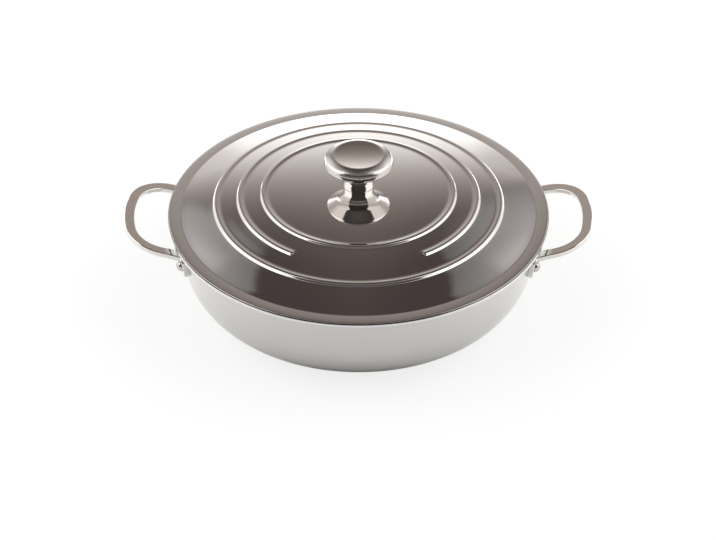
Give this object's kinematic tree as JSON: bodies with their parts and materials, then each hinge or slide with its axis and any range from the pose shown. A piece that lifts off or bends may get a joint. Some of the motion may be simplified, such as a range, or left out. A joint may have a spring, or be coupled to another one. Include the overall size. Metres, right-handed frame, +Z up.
{
  "type": "braiser",
  "caption": "Low round stainless braiser with two riveted loop handles and a domed, ringed lid with a mushroom knob.",
  "frame": {"origin": "centre of the base where the pan stands on the table", "axes": "+X towards the right handle seen from the front, -Y towards the front, where the middle ring of the lid is open, +Z up"},
  "size_m": [0.389, 0.3158, 0.134],
  "materials": {
    "outer_steel": "fine satin, magnetic stainless steel",
    "core_aluminium": "bare rolled aluminium, seen only at the cut edge of the rim",
    "inner_steel": "circular brushed stainless steel",
    "handle_steel": "polished cast stainless steel with a satin top face",
    "rivet_steel": "polished stainless steel",
    "lid_steel": "mirror polished stainless steel with a satin rim",
    "knob_steel": "fine turned satin stainless steel",
    "fixing_steel": "plain stainless fasteners"
  },
  "bodies": {
    "pan": {"pan_outer_skin": "outer_steel", "pan_aluminium_core": "core_aluminium", "pan_inner_skin": "inner_steel", "left_handle": "handle_steel", "right_handle": "handle_steel", "left_front_rivet": "rivet_steel", "left_rear_rivet": "rivet_steel", "right_front_rivet": "rivet_steel", "right_rear_rivet": "rivet_steel"},
    "lid": {"lid_shell": "lid_steel", "lid_knob": "knob_steel", "knob_screw": "fixing_steel", "knob_lock_washer": "fixing_steel", "knob_washer": "fixing_steel"}
  },
  "joints": [
    {"name": "lid_lift", "type": "slide", "parent": "pan", "child": "lid", "axis": [0, 0, 1], "range_m": [0, 0.15]}
  ]
}
